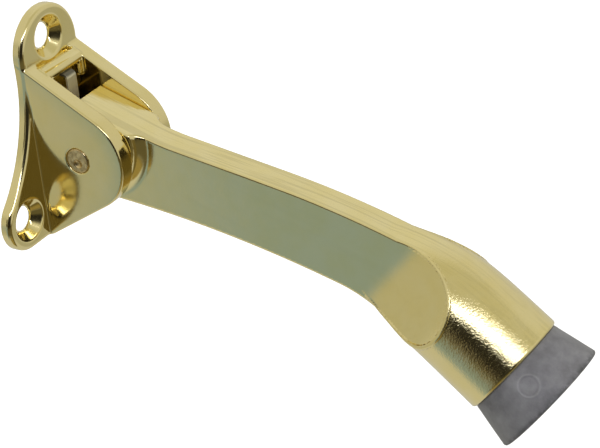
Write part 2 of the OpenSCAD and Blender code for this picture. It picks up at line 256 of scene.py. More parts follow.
def cheek_outline(u, z):
    """Distance to a cheek's outline: two straight edges that touch a round nose."""
    du, dz = u - HINGE[0], z - HINGE[1]
    n_top, n_low = unit(CHEEK_TANGENT - HINGE), unit(NOSE_BOTTOM - HINGE)
    top = du * n_top[0] + dz * n_top[1] - NOSE_R
    low = du * n_low[0] + dz * n_low[1] - NOSE_R
    angle = np.arctan2(dz, du)
    on_nose = (angle <= math.atan2(n_top[1], n_top[0])) & (angle >= math.atan2(n_low[1], n_low[0]))
    edge = np.where(on_nose, np.hypot(du, dz) - NOSE_R, np.maximum(top, low))
    return round_max(np.maximum(edge, -u), PLATE_BOTTOM - z, CHEEK_FOOT_EDGE)


def bridge_field(ax, u, z):
    """Cross-piece between the cheeks, with a groove behind its top and a rib at each end."""
    under = cheek_line(BRIDGE_FRONT) - BRIDGE_HEIGHT
    lean = 1 / math.hypot(1, CHEEK_SLOPE)
    top = (z - cheek_line(u)) * lean
    front = round_max(top, u - BRIDGE_FRONT, BRIDGE_TOP_EDGE)
    front = round_max(front, BRIDGE_BACK - u, BRIDGE_SIDE_EDGE)
    low_top = z - cheek_line(BRIDGE_BACK) + GROOVE
    web = np.maximum(low_top, u - BRIDGE_FRONT + INLAP)
    bar = round_max(round_min(front, web, BRIDGE_ROOT), under - z, BRIDGE_LOW_EDGE)
    rib = round_max(u - BRIDGE_FRONT, CHEEK_GAP / 2 - RIB_WIDTH - ax, RIB_EDGE)
    rib = round_max(rib, under - RIB_DROP - z, RIB_FOOT_EDGE)
    rib = np.maximum(np.maximum(rib, RIB_BACK - u), z - under - BRIDGE_LOW_EDGE)
    reach = ax - CHEEK_GAP / 2 - INLAP
    return np.maximum(round_min(np.maximum(bar, 1 - u), rib, BRIDGE_LOW_EDGE), reach)


def screw_hole_field(x, u, z, at_x, at_z):
    """Space of a screw hole through the plate, with its 90 degree countersink."""
    away = np.hypot(x - at_x, z - at_z)
    sink = (away - SINK_R - (u - PLATE_T)) * math.sqrt(0.5)
    return np.maximum(round_min(away - HOLE_R, sink, SINK_FOOT), u - PLATE_T - CUT_PAST)


def bracket_field(x, u, z):
    """Whole bracket casting: plate, two cheeks, bridge, screw holes, pin bore and back pocket."""
    ax = np.abs(x)
    plate = round_max(plate_outline(ax, z), u - PLATE_T, PLATE_EDGE)
    outline = cheek_outline(u, z)
    worn = WEAR_DEPTH * np.clip(1 + outline / WEAR_WIDTH, 0, 1) ** 2
    cheek = round_max(outline, ax - BRACKET_HALF + worn, CHEEK_EDGE_OUT)
    cheek = round_max(cheek, CHEEK_GAP / 2 - ax, CHEEK_EDGE_IN)
    solid = round_min(plate, cheek, CHEEK_ROOT)
    solid = round_min(solid, bridge_field(ax, u, z), BRIDGE_ROOT)
    top_z = MOUNTS["top_screw_hole"]["pos_m"][2] / MM
    low_z = MOUNTS["lower_screw_holes"]["pos_m"][2] / MM
    low_x = MOUNTS["lower_screw_holes"]["dims"]["spacing_x_mm"] / 2
    holes = np.minimum(screw_hole_field(ax, u, z, 0, top_z), screw_hole_field(ax, u, z, low_x, low_z))
    solid = round_max(solid, -holes, SINK_MOUTH)
    pocket = np.maximum(np.maximum(ax - CHEEK_GAP / 2, np.abs(z) - RELIEF_HALF), RELIEF_FLOOR - u)
    solid = np.maximum(solid, -np.maximum(pocket, u - PLATE_T - CUT_PAST))
    bore = np.hypot(u - HINGE_U, z - HINGE_Z) - PIN_R
    solid = round_max(solid, -bore, BORE_MOUTH)
    return round_max(solid, -u, BACK_EDGE)


# ---------------------------------------------------------------- the arm
def arm_bottom(u, z, tail):
    """Distance below the arm's underside, which starts as the hub's round foot."""
    a = math.radians(BOTTOM_HEADING)
    foot = HINGE + HUB_R * np.array([math.sin(a), -math.cos(a)])
    line = -chain_distance(u, z, foot, BOTTOM_HEADING, BOTTOM_BENDS + tail)
    du, dz = u - HINGE_U, z - HINGE_Z
    behind = du * math.cos(a) + dz * math.sin(a) < 0
    return np.where(behind, np.hypot(du, np.minimum(dz, 0)) - HUB_R, line)


def shoulder_field(ax, u, z):
    """Full-width disc about the hub with a hollow round it that runs down to the bar's sides."""
    away = np.hypot(u - HINGE_U, z - HINGE_Z - SHOULDER_RISE)
    step = HUB_HALF - BAR_HALF
    hollow_r = (HOLLOW ** 2 + step ** 2) / (2 * step)
    end = SHOULDER_R + HOLLOW
    hollow = hollow_r - np.hypot(away - end, ax - BAR_HALF - hollow_r)
    outside = np.where(away > end, ax - BAR_HALF, hollow)
    return round_max(ax - HUB_HALF, outside, HUB_SIDE_EDGE)


def hub_and_bar(ax, u, z, s):
    """Hub with a flat back, and the bent bar that runs from it into the socket."""
    top = chain_distance(u, z, HUB_CORNER, TOP_HEADING, TOP_BENDS)
    foot = np.array([HINGE_U - BACK_FLAT, BACK_FLAT_TOP])
    lean = unit(np.array(HUB_CORNER) - foot)
    slope = (foot[0] - u) * lean[1] - (foot[1] - z) * lean[0]
    back = round_max(HINGE_U - BACK_FLAT - u, slope, HUB_BACK_EDGE)
    above = round_max(top, back, HUB_TOP_EDGE)
    outline = round_max(above, arm_bottom(u, z, BAR_TAIL), BAR_FOOT_EDGE)
    solid = round_max(outline, shoulder_field(ax, u, z), BAR_EDGE)
    return np.maximum(solid, s + BAR_END)


def socket_field(ax, u, z, s, v):
    """Round socket whose top curves back to the bar and whose sides flare out from the bar's."""
    taper = (SOCKET_R - SOCKET_FULL_R) / CROWN_START
    r = SOCKET_FULL_R + taper * (np.maximum(s, -CROWN_START) + CROWN_START)
    height = v + CROWN_DROP * np.maximum(-CROWN_EASE - s, 0) ** CROWN_POWER
    crown = np.hypot(np.maximum(height, 0), ax) - r
    tube = np.maximum(np.hypot(ax, v) - r, crown)
    flare = FLARE_R - np.hypot(s + FLARE_START, ax - BAR_HALF - FLARE_R)
    flare = np.where(s < -FLARE_START, ax - BAR_HALF, flare)
    fade = np.clip((-CREST_END - s) / CREST_FADE, 0, 1)
    edge = CREST + (BAR_EDGE - CREST) * fade * fade * (3 - 2 * fade)
    solid = round_max(tube, flare, edge)
    # A thin raised line along the crest, which sinks in where the crest fades out
    sunk = BEAD_SUNK + BEAD_END_SUNK * fade
    solid = round_min(solid, np.hypot(tube + sunk, flare + sunk) - BEAD_R, BEAD_ROOT)
    solid = round_max(solid, arm_bottom(u, z, SOCKET_TAIL), BAR_EDGE)
    solid = round_max(solid, s, RIM_EDGE)
    return np.maximum(solid, -SOCKET_LENGTH - s)


def arm_field(x, u, z):
    """Whole arm casting; s runs along the socket's axis from its rim and v across it."""
    ax = np.abs(x)
    s = (u - RIM_U) * COS_S - (z - RIM_Z) * SIN_S
    v = (u - RIM_U) * SIN_S + (z - RIM_Z) * COS_S
    solid = np.minimum(hub_and_bar(ax, u, z, s), socket_field(ax, u, z, s, v))
    away = np.hypot(ax, v)
    bore = np.maximum(away - BORE_R, -BORE_DEPTH - s)
    thread = np.maximum(away - THREAD_R, -THREAD_DEPTH - s)
    solid = round_max(solid, -np.minimum(bore, thread), BORE_EDGE)
    pin_bore = np.hypot(u - HINGE_U, z - HINGE_Z) - PIN_R - HINGE_PLAY
    return np.maximum(solid, -pin_bore)


# ---------------------------------------------------------------- pin and spring
def pin_field(x, u, z):
    """Pin with rounded ends and a small off-centre staking dimple in each."""
    away = np.hypot(u - HINGE_U, z - HINGE_Z)
    end = np.abs(x) - PIN_HIGH[0]
    solid = round_max(away - PIN_R + PIN_PLAY, end, PIN_EDGE)
    dimple = np.sqrt((end - DIMPLE_OUT) ** 2 + (u - HINGE_U) ** 2 + (z - HINGE_Z + DIMPLE_LOW) ** 2)
    return round_max(solid, DIMPLE_R - dimple, DIMPLE_EDGE)


def spring_field(x, u, z):
    """Strip that comes forward from the plate, turns down behind the hub and goes back in."""
    ax = np.abs(x)
    half, bend, edge, strip_half, head_half = 0.3, 1.0, 0.15, 1.7, 0.95
    top, foot = SPRING_HIGH[2] - half, SPRING_LOW[2] + half
    back = SPRING_LOW[1]
    front = SPRING_HIGH[1] - half
    quarter = (bend * math.pi / 2, -90)
    leg = front - bend - back
    bends = [(leg, 0), quarter, (top - foot - 2 * bend, 0), quarter, (leg, 0)]
    line = np.abs(chain_distance(u, z, (back, top), 0, bends)) - half
    line = np.where(u < back, np.maximum(line, back - u), line)
    strip = round_max(np.maximum(line, back - u), ax - strip_half, edge)
    head = round_max(np.abs(z - top) - half, ax - SPRING_HIGH[0], edge)
    head = round_max(head, np.abs(u - back - head_half) - head_half, edge)
    return np.minimum(strip, head)


# ---------------------------------------------------------------- meshing
CORNERS = [(i, j, k) for i in (0, 1) for j in (0, 1) for k in (0, 1)]
EDGES = [(a, b) for a in CORNERS for b in CORNERS
         if a < b and sum(abs(p - q) for p, q in zip(a, b)) == 1]
NET_PAD, GRADIENT_REACH, PULLS, PULL_LIMIT, FLATTEST = 1.7, 0.02, 3, 0.6, 0.05


def field_gradient(field, p):
    """Gradient of a field at points, from four corners of a small tetrahedron."""
    total = np.zeros_like(p)
    for k in ((1, -1, -1), (-1, -1, 1), (-1, 1, -1), (1, 1, 1)):
        q = p + GRADIENT_REACH * np.array(k)
        total += field(q[:, 0], -q[:, 1], q[:, 2])[:, None] * np.array(k)
    return total / (4 * GRADIENT_REACH)


def crossing_points(g, cells):
    """Mean place where the zero level cuts the edges of each cell, counted in cells."""
    total = np.zeros((len(cells), 3))
    hits = np.zeros(len(cells))
    for a, b in EDGES:
        ga = g[tuple((cells + a).T)]
        gb = g[tuple((cells + b).T)]
        cross = (ga < 0) != (gb < 0)
        t = np.where(cross, ga / np.where(cross, ga - gb, 1), 0)
        total += np.where(cross[:, None], np.array(a) + t[:, None] * (np.array(b) - np.array(a)), 0)
        hits += cross
    return cells + total / hits[:, None]


def net_quads(solid, ids):
    """One outward quad for each edge of the grid that the surface cuts, from the cells' points."""
    n = ids.shape
    quads = []
    for axis in range(3):
        p, q = (axis + 1) % 3, (axis + 2) % 3
        here = [slice(0, n[i] + 1) for i in range(3)]
        here[axis] = slice(0, n[axis])
        ahead = list(here)
        ahead[axis] = slice(1, n[axis] + 1)
        at = np.argwhere(solid[tuple(here)] != solid[tuple(ahead)])
        at = at[(at[:, p] > 0) & (at[:, q] > 0) & (at[:, p] < n[p]) & (at[:, q] < n[q])]
        ring = []
        for dp, dq in ((-1, -1), (0, -1), (0, 0), (-1, 0)):
            c = at.copy()
            c[:, p] += dp
            c[:, q] += dq
            ring.append(ids[tuple(c.T)])
        ring = np.stack(ring, 1)
        outward = solid[tuple(at.T)]
        quads.append(np.where(outward[:, None], ring, ring[:, ::-1]))
    return np.concatenate(quads)


def pulled_on(field, points, step):
    """Points moved along the gradient onto the zero level of a field."""
    for _ in range(PULLS):
        grad = field_gradient(field, points)
        size = np.maximum((grad ** 2).sum(1), FLATTEST)
        move = -(field(points[:, 0], -points[:, 1], points[:, 2]) / size)[:, None] * grad
        length = np.linalg.norm(move, axis=1, keepdims=True)
        points = points + move * np.minimum(1, PULL_LIMIT * step / np.maximum(length, SLIM))
    return points


def net(field, low, high, step):
    """Surface net of a field's zero level round a box: its points, quads and normals."""
    pad = NET_PAD * step
    axes = [np.arange(low[i] - pad, high[i] + 2 * pad, step) for i in range(3)]
    g = field(axes[0][:, None, None], -axes[1][None, :, None], axes[2][None, None, :])
    g = np.where(np.abs(g) < SLIM, SLIM, g)
    solid = g < 0
    n = [len(a) - 1 for a in axes]
    count = sum(solid[i:n[0] + i, j:n[1] + j, k:n[2] + k].astype(np.int8) for i, j, k in CORNERS)
    cells = np.argwhere((count > 0) & (count < len(CORNERS)))
    ids = np.full(n, -1, np.int64)
    ids[tuple(cells.T)] = np.arange(len(cells))
    points = np.array([a[0] for a in axes]) + step * crossing_points(g, cells)
    points = pulled_on(field, points, step)
    normals = field_gradient(field, points)
    normals /= np.maximum(np.linalg.norm(normals, axis=1, keepdims=True), SLIM)
    return points, net_quads(solid, ids), normals


def new_object(name, points, faces, normals=None):
    """Smooth-shaded object from points in millimetres, with its own normals if they are given."""
    mesh = bpy.data.meshes.new(name)
    mesh.from_pydata((points * MM).tolist(), [], faces.tolist())
    mesh.update()
    mesh.polygons.foreach_set("use_smooth", np.ones(len(mesh.polygons), bool))
    if normals is not None:
        mesh.normals_split_custom_set_from_vertices(normals.tolist())
    obj = bpy.data.objects.new(name, mesh)
    bpy.context.scene.collection.objects.link(obj)
    return obj


def casting(name, field, node, step):
    """Mesh of a field over the box of the CAD node that it stands for."""
    low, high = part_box(node)
    step = step * 1
    return new_object(name, *net(field, np.array(low) / MM, np.array(high) / MM, step))


# ---------------------------------------------------------------- the rubber tip
def socket_point(s, away, turn):
    """Point at a place along the socket's axis, a distance from it, turned round it; 0 is up."""
    x, v = away * np.sin(turn), away * np.cos(turn)
    u = RIM_U + s * COS_S + v * SIN_S
    z = RIM_Z - s * SIN_S + v * COS_S
    return np.stack([x, -u, z], -1)


def smooth_noise(a, b, seed, octaves=4):
    """Soft random bumps over an angle a and a length b, repeating once round."""
    rng = np.random.default_rng(seed)
    out = np.zeros(np.broadcast(a, b).shape)
    for octave in range(octaves):
        for _ in range(6):
            turns = rng.integers(1, 7) * 2 ** octave
            out += np.sin(turns * a + rng.uniform(0.3, 1) * 2 ** octave * b
                          + rng.uniform(0, 2 * math.pi)) / (6 * 1.6 ** octave)
    return out


# Rounding of the lip, chamfer of the inner corners, and cuts along the side, the lip and the end
LIP_R, CORNER, SIDE_START, SIDE_CUTS, LIP_CUTS, END_CUTS = 0.55, 0.3, 0.25, 43, 8, 11
# The faint moulded ring: its place along the tip, its turn round it, its radius and its height
RING_S, RING_TURN, RING_R, RING_RAISED = 4.3, math.radians(-55) % (2 * math.pi), 2.3, 0.12
# Depths of the lip's wear, of the skin's soft hollows, and of the skin below the CAD outline
RAGGED_DEPTH, SOFT_DEPTH, SKIN_SUNK = 0.09, 0.025, 0.03


def tip_profile():
    """(s, radius) round the tip's section, from the plug's inner end to the screw hole."""
    side, end = TIP_LENGTH - LIP_R, TIP_END_R - LIP_R
    # The plug, then the small shoulder where the neck meets the rim
    points = [(-BORE_DEPTH, THREAD_R), (-BORE_DEPTH, BORE_R - CORNER), (-BORE_DEPTH + CORNER, BORE_R),
              (-0.02, BORE_R), (0.0, TIP_NECK_R - 0.25), (0.08, TIP_NECK_R - 0.07)]
    for k in range(1, SIDE_CUTS + 1):
        s = SIDE_START + k / SIDE_CUTS * (side - SIDE_START)
        points.append((s, TIP_NECK_R + (TIP_END_R - TIP_NECK_R) * s / side))
    for k in range(1, LIP_CUTS + 1):
        a = math.pi / 2 * k / LIP_CUTS
        points.append((side + LIP_R * math.sin(a), end + LIP_R * math.cos(a)))
    for k in range(1, END_CUTS + 1):
        points.append((TIP_LENGTH, end - (end - WASHER_R - CORNER) * k / END_CUTS))
    seat = TIP_LENGTH - RECESS - WASHER_T
    points += [(TIP_LENGTH - CORNER, WASHER_R), (seat, WASHER_R), (seat, THREAD_R)]
    return np.array(points)


def tip_skin(s, away, turn):
    """Radius of the tip's skin, how strongly the ring's mark shows, and how near the lip is."""
    outer = (away > TIP_NECK_R - 0.1) & (s > 0.1)
    lip = np.exp(-((s - TIP_LENGTH + 0.3) / 0.7) ** 2)
    ragged = RAGGED_DEPTH * lip * (smooth_noise(turn, s, 5, 6) - 0.4)
    soft = SOFT_DEPTH * (smooth_noise(turn, s * 0.6, 9, 3) - 0.6)
    from_ring = np.hypot(s - RING_S, (turn - RING_TURN) * away) - RING_R
    ring = RING_RAISED * np.exp(-(from_ring / 0.2) ** 2)
    mark = np.exp(-(from_ring / 0.16) ** 2) - 0.5 * np.exp(-((from_ring + 0.4) / 0.2) ** 2)
    mark = np.where(outer, mark + 0.3 * (from_ring < 0), 0)
    radius = away + np.where(outer, np.minimum(ragged + soft, 0) + ring - SKIN_SUNK, 0)
    return radius, mark, np.broadcast_to(lip, mark.shape)


def rubber_tip():
    """Flared rubber tip: its section swept round the socket's axis, with the skin's wear."""
    profile = tip_profile()
    rows, turns = len(profile), 380
    turn = (np.arange(turns) * 2 * math.pi / turns)[None, :]
    s, away = profile[:, 0][:, None], profile[:, 1][:, None]
    radius, mark, lip = tip_skin(s, away, turn)
    points = socket_point(np.broadcast_to(s, radius.shape), radius, turn).reshape(-1, 3)
    here = np.arange(turns)
    after = (here + 1) % turns
    faces = []
    for i in range(rows):
        j = (i + 1) % rows
        faces.append(np.stack([i * turns + here, j * turns + here, j * turns + after,
                               i * turns + after], 1))
    obj = new_object("tip_moulding", points, np.concatenate(faces))
    for attribute, values in (("mark", mark), ("lip", lip)):
        layer = obj.data.attributes.new(attribute, "FLOAT", "POINT")
        layer.data.foreach_set("value", values.ravel().astype(np.float32))
    obj.data.set_sharp_from_angle(angle=math.radians(40))
    return obj


# ---------------------------------------------------------------- materials
def material(name):
    """New node material, with its nodes and links."""
    m = bpy.data.materials.new(name)
    m.use_nodes = True
    return m, m.node_tree.nodes, m.node_tree.links


def noise(nodes, links, vector, scale, detail=3.0, rough=0.55):
    """Cloudy value from 0 to 1; in object coordinates the scale is its clouds in a metre."""
    n = nodes.new("ShaderNodeTexNoise")
    n.inputs["Scale"].default_value = scale
    n.inputs["Detail"].default_value = detail
    n.inputs["Roughness"].default_value = rough
    links.new(vector, n.inputs["Vector"])
    return n.outputs["Fac"]


def stretched(nodes, links, scale, turn=(0, 0, 0)):
    """Object coordinates turned, then scaled, so that noise can run along one direction."""
    co = nodes.new("ShaderNodeTexCoord")
    turned = nodes.new("ShaderNodeMapping")
    turned.inputs["Rotation"].default_value = turn
    links.new(co.outputs["Object"], turned.inputs["Vector"])
    m = nodes.new("ShaderNodeMapping")
    m.inputs["Scale"].default_value = scale
    links.new(turned.outputs["Vector"], m.inputs["Vector"])
    return m.outputs["Vector"]


def ramp(nodes, links, value, *stops):
    """Colour that goes from the first stop to the second as a value rises; a stop is (at, colour)."""
    r = nodes.new("ShaderNodeValToRGB")
    for element, (at, color) in zip(r.color_ramp.elements, stops):
        element.position = at
        element.color = (*color, 1)
    links.new(value, r.inputs["Fac"])
    return r.outputs["Color"]


def to_range(nodes, links, value, low, high, out_low, out_high):
    """Value eased from out_low to out_high while it goes from low to high."""
    m = nodes.new("ShaderNodeMapRange")
    m.interpolation_type = "SMOOTHSTEP"
    for key, v in (("From Min", low), ("From Max", high), ("To Min", out_low), ("To Max", out_high)):
        m.inputs[key].default_value = v
    links.new(value, m.inputs["Value"])
    return m.outputs["Result"]


def bump(nodes, links, height, size, normal=None):
    """Bump whose full height is size millimetres."""
    b = nodes.new("ShaderNodeBump")
    b.inputs["Strength"].default_value = 1.0
    b.inputs["Distance"].default_value = size * MM
    links.new(height, b.inputs["Height"])
    if normal is not None:
        links.new(normal, b.inputs["Normal"])
    return b.outputs["Normal"]


def math_node(nodes, links, kind, a, b=None, c=None):
    """One math operation on sockets or plain numbers."""
    n = nodes.new("ShaderNodeMath")
    n.operation = kind
    for i, v in enumerate((a, b, c)):
        if v is None:
            continue
        if isinstance(v, (int, float)):
            n.inputs[i].default_value = v
        else:
            links.new(v, n.inputs[i])
    return n.outputs[0]


def mixed(nodes, links, factor, a, b):
    """Colour a where the factor is 0 and b where it is 1; each is a socket or a plain colour."""
    m = nodes.new("ShaderNodeMix")
    m.data_type = "RGBA"
    links.new(factor, m.inputs["Factor"])
    for key, v in (("A", a), ("B", b)):
        if isinstance(v, tuple):
            m.inputs[key].default_value = (*v, 1)
        else:
            links.new(v, m.inputs[key])
    return m.outputs["Result"]


def scaled(nodes, links, color, factor):
    """Colour made brighter or darker by a factor."""
    n = nodes.new("ShaderNodeVectorMath")
    n.operation = "SCALE"
    links.new(color, n.inputs[0])
    links.new(factor, n.inputs["Scale"])
    return n.outputs[0]


def polished_brass(name, tint, grain):
    """Bright brass plate over a cast surface: a grain of the given height and dull patches."""
    m, nodes, links = material(name)
    p = nodes["Principled BSDF"]
    p.inputs["Metallic"].default_value = 1.0
    co = nodes.new("ShaderNodeTexCoord").outputs["Object"]
    cloud = noise(nodes, links, co, 160, 4)
    warm = tuple(c * f for c, f in zip(tint, (1.0, 0.985, 0.93)))
    pale = tuple(min(1, c * f) for c, f in zip(tint, (1.01, 1.01, 1.05)))
    links.new(ramp(nodes, links, cloud, (0.35, warm), (0.65, pale)), p.inputs["Base Color"])
    patches = noise(nodes, links, co, 420, 3)
    rough = math_node(nodes, links, "MULTIPLY_ADD", patches, 0.09, 0.075)
    links.new(rough, p.inputs["Roughness"])
    normal = bump(nodes, links, noise(nodes, links, co, 2600, 2), grain)
    normal = bump(nodes, links, noise(nodes, links, co, 300, 2), grain * 1.2, normal)
    links.new(normal, p.inputs["Normal"])
    return m


# Mean slope of the bar's top in degrees, and the mm from the door over which the skin comes in
TOP_SLOPE, SKIN_FROM, SKIN_FULL = -17, 94, 104


def arm_brass(tint):
    """Brass with polishing lines along the bar's top and a coarser skin on the socket."""
    m = polished_brass("arm_brass", tint, ARM_GRAIN)
    nodes, links = m.node_tree.nodes, m.node_tree.links
    p = nodes["Principled BSDF"]
    normal = p.inputs["Normal"].links[0].from_socket
    co = nodes.new("ShaderNodeTexCoord")
    place = nodes.new("ShaderNodeSeparateXYZ")
    links.new(co.outputs["Object"], place.inputs[0])
    facing = nodes.new("ShaderNodeSeparateXYZ")
    links.new(co.outputs["Normal"], facing.inputs[0])
    along = stretched(nodes, links, (1200, 30, 400), (math.radians(TOP_SLOPE), 0, 0))
    lines = noise(nodes, links, along, 1.0, 2)
    socket = to_range(nodes, links, place.outputs[1], -SKIN_FROM * MM, -SKIN_FULL * MM, 0.0, 1.0)
    upward = to_range(nodes, links, facing.outputs[2], 0.4, 0.8, 0.1, 1.0)
    upward = math_node(nodes, links, "MULTIPLY", upward,
                       to_range(nodes, links, socket, 0.0, 1.0, 1.0, 0.4))
    streaks = math_node(nodes, links, "MULTIPLY", upward,
                        to_range(nodes, links, lines, 0.54, 0.36, 0.0, 0.15))
    color = scaled(nodes, links, p.inputs["Base Color"].links[0].from_socket,
                   math_node(nodes, links, "SUBTRACT", 1.03, streaks))
    links.new(color, p.inputs["Base Color"])
    lines = math_node(nodes, links, "MULTIPLY", lines, upward)
    normal = bump(nodes, links, lines, 0.05, normal)
    for scale, size in ((2600, 0.036), (1400, 0.026)):
        skin = noise(nodes, links, co.outputs["Object"], scale, 3, 0.6)
        normal = bump(nodes, links, math_node(nodes, links, "MULTIPLY", skin, socket), size, normal)
    links.new(normal, p.inputs["Normal"])
    return m


def mottled_metal(name, size, stops, rough, grain_size, grain_detail, grain):
    """Bare metal whose colour and roughness follow one cloud of noise, under a fine grain."""
    m, nodes, links = material(name)
    p = nodes["Principled BSDF"]
    p.inputs["Metallic"].default_value = 1.0
    co = nodes.new("ShaderNodeTexCoord").outputs["Object"]
    cloud = noise(nodes, links, co, size, 4)
    links.new(ramp(nodes, links, cloud, *stops), p.inputs["Base Color"])
    links.new(to_range(nodes, links, cloud, 0.3, 0.7, *rough), p.inputs["Roughness"])
    fine = noise(nodes, links, co, grain_size, grain_detail)
    links.new(bump(nodes, links, fine, grain), p.inputs["Normal"])
    return m


def pin_metal():
    """Dull, blotchy brass of the pin."""
    stops = [(0.35, (0.52, 0.38, 0.17)), (0.62, (0.82, 0.64, 0.32))]
    return mottled_metal("pin_metal", 900, stops, (0.38, 0.22), 1500, 3, 0.02)


def screw_steel():
    """Plain steel of the screw and the washer."""
    stops = [(0.35, (0.50, 0.50, 0.49)), (0.65, (0.66, 0.66, 0.65))]
    return mottled_metal("screw_metal", 700, stops, (0.22, 0.38), 2500, 2, 0.008)


def spring_steel():
    """Spring strip with rolling lines along it and painted shade darkening its top, where the bridge shades it."""
    m, nodes, links = material("spring_metal")
    p = nodes["Principled BSDF"]
    p.inputs["Metallic"].default_value = 0.6
    lines = noise(nodes, links, stretched(nodes, links, (5000, 300, 200)), 1.0, 3)
    unshaded_steel = ramp(nodes, links, lines, (0.3, (0.72, 0.66, 0.42)), (0.7, (0.86, 0.80, 0.56)))
    split = nodes.new("ShaderNodeSeparateXYZ")
    links.new(nodes.new("ShaderNodeTexCoord").outputs["Object"], split.inputs[0])
    top = SPRING_HIGH[2] * MM
    # Painted shade: the steel is darkened towards its top bend, standing in for the bridge's shadow on it
    painted_shade = to_range(nodes, links, split.outputs[2], top - 0.0010, top - 0.0004, 0.0, 0.85)
    links.new(mixed(nodes, links, painted_shade, unshaded_steel, (0.05, 0.045, 0.03)), p.inputs["Base Color"])
    links.new(to_range(nodes, links, lines, 0.3, 0.7, 0.30, 0.42), p.inputs["Roughness"])
    links.new(bump(nodes, links, lines, 0.006), p.inputs["Normal"])
    return m


def grey_rubber():
    """Grey rubber with dusty specks, grime along the lip and the mark of the moulded ring."""
    m, nodes, links = material("grey_rubber")
    p = nodes["Principled BSDF"]
    co = nodes.new("ShaderNodeTexCoord").outputs["Object"]
    cloud = noise(nodes, links, co, 170, 5, 0.6)
    speck = noise(nodes, links, co, 1800, 3, 0.7)
    base = ramp(nodes, links, cloud, (0.3, (0.20, 0.198, 0.205)), (0.7, (0.38, 0.375, 0.39)))
    dust = to_range(nodes, links, speck, 0.60, 0.78, 0.0, 0.35)
    dusty = mixed(nodes, links, dust, base, (0.42, 0.41, 0.40))
    mark = nodes.new("ShaderNodeAttribute")
    mark.attribute_name = "mark"
    lip = nodes.new("ShaderNodeAttribute")
    lip.attribute_name = "lip"
    grime = math_node(nodes, links, "MULTIPLY", lip.outputs["Fac"],
                      to_range(nodes, links, noise(nodes, links, co, 900, 4), 0.35, 0.62, 0.0, 0.45))
    bright = math_node(nodes, links, "MULTIPLY_ADD", mark.outputs["Fac"], 0.28, 1.0)
    bright = math_node(nodes, links, "SUBTRACT", bright, grime)
    links.new(scaled(nodes, links, dusty, bright), p.inputs["Base Color"])
    links.new(to_range(nodes, links, cloud, 0.3, 0.7, 0.40, 0.58), p.inputs["Roughness"])
    p.inputs["Specular IOR Level"].default_value = 0.35
    normal = bump(nodes, links, noise(nodes, links, co, 1100, 4), 0.05)
    links.new(bump(nodes, links, cloud, 0.25, normal), p.inputs["Normal"])
    return m


# ---------------------------------------------------------------- studio
# Patches of the tent, in the order they are laid. Each fades in or out over ranges of azimuth
# ("az", from +y towards +x), its size ("spread") and elevation ("el") in degrees, and has a colour.
TENT_LOW, TENT_HIGH = (0.56, 0.555, 0.53), (0.63, 0.62, 0.57)
TENT_PATCHES = [
    # Paler wall that level tops mirror
    ([("az", 20, 60), ("az", 105, 80), ("el", 0, 30)], (0.68, 0.68, 0.66)),
    # Grey patch that the plate's front mirrors
    ([("az", 100, 125), ("el", 2, -14), ("el", -48, -26)], (0.42, 0.415, 0.36)),
    # Grey patch that the near cheek mirrors
    ([("az", -56, -50), ("az", 10, -8), ("el", -36, -30), ("el", 26, 14)], (0.475, 0.465, 0.39)),
    # Duller roof above the camera
    ([("spread", 105, 130), ("el", 38, 48)], (0.535, 0.52, 0.42)),
    # Dark golden ground in front of the object
    ([("az", -140, -148), ("az", -180, -170), ("el", -4, -10), ("el", -82, -74)], (0.14, 0.11, 0.04)),
    # Golden ground under the camera
    ([("az", -154, -146), ("az", -90, -96), ("el", -36, -42), ("el", -82, -74)], (0.30, 0.235, 0.09)),
    # Cool patch that the bar's near side mirrors
    ([("az", -88, -78), ("az", -48, -56), ("el", 2, -14), ("el", -58, -38)], (0.262, 0.345, 0.43)),
    # Dark horizon that the rounded edges above the near sides mirror
    ([("az", -84, -76), ("az", -56, -62), ("el", 22, 15), ("el", -9, -4)], (0.10, 0.09, 0.06)),
]


